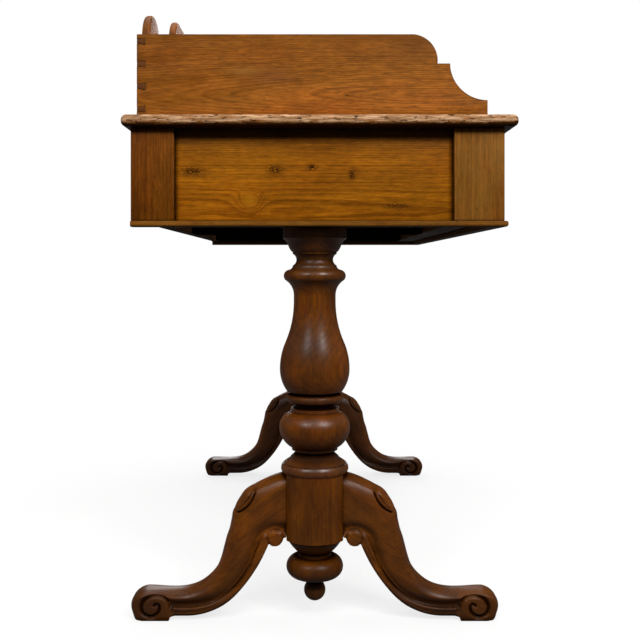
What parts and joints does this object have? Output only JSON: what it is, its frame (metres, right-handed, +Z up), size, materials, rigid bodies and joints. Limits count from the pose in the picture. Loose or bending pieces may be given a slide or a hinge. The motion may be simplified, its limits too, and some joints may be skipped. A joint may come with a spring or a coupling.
{
  "type": "washstand",
  "caption": "Pine washstand: drawered box under a galleried top with a crested back, on twin turned pedestals with scroll legs joined by a turned stretcher.",
  "frame": {"origin": "on the floor under the middle of the whole stand", "axes": "+X along the length to the right as seen from the front, +Z up; the drawers face -Y"},
  "size_m": [1.067, 0.5696, 0.953],
  "materials": {
    "pitch_pine": "old waxed varnish, satin",
    "stained_pine": "dark stained and polished",
    "raw_pine": "unfinished, planed",
    "iron_screw": "dull iron"
  },
  "bodies": {
    "stand": {"ball_drop_left": "stained_pine", "ball_drop_right": "stained_pine", "bearer_left": "raw_pine", "bearer_right": "raw_pine", "bottom_rail": "pitch_pine", "carcass_back": "raw_pine", "centre_guide": "raw_pine", "centre_kicker": "raw_pine", "centre_runner": "raw_pine", "column_left": "stained_pine", "column_right": "stained_pine", "column_wedges": "raw_pine", "drawer_stops": "raw_pine", "end_panel_left": "pitch_pine", "end_panel_right": "pitch_pine", "gallery_back": "pitch_pine", "gallery_screws": "iron_screw", "gallery_side_left": "pitch_pine", "gallery_side_right": "pitch_pine", "glue_blocks": "raw_pine", "guide_left": "raw_pine", "guide_right": "raw_pine", "kicker_left": "raw_pine", "kicker_right": "raw_pine", "leg_back_left": "stained_pine", "leg_back_right": "stained_pine", "leg_front_left": "stained_pine", "leg_front_right": "stained_pine", "moulding_front": "pitch_pine", "moulding_left": "pitch_pine", "moulding_right": "pitch_pine", "muntin": "pitch_pine", "post_back_left": "pitch_pine", "post_back_right": "pitch_pine", "post_front_left": "pitch_pine", "post_front_right": "pitch_pine", "stretcher": "stained_pine", "top_board": "pitch_pine", "top_rail": "pitch_pine"},
    "drawer_left": {"drawer_left_back": "raw_pine", "drawer_left_bottom": "raw_pine", "drawer_left_front": "pitch_pine", "drawer_left_knob_a": "stained_pine", "drawer_left_knob_b": "stained_pine", "drawer_left_side_left": "raw_pine", "drawer_left_side_right": "raw_pine"},
    "drawer_right": {"drawer_right_back": "raw_pine", "drawer_right_bottom": "raw_pine", "drawer_right_front": "pitch_pine", "drawer_right_knob_a": "stained_pine", "drawer_right_knob_b": "stained_pine", "drawer_right_side_left": "raw_pine", "drawer_right_side_right": "raw_pine"}
  },
  "joints": [
    {"name": "left_drawer_slide", "type": "slide", "parent": "stand", "child": "drawer_left", "axis": [0, -1, 0], "range_m": [0, 0.34]},
    {"name": "right_drawer_slide", "type": "slide", "parent": "stand", "child": "drawer_right", "axis": [0, -1, 0], "range_m": [0, 0.34]}
  ]
}
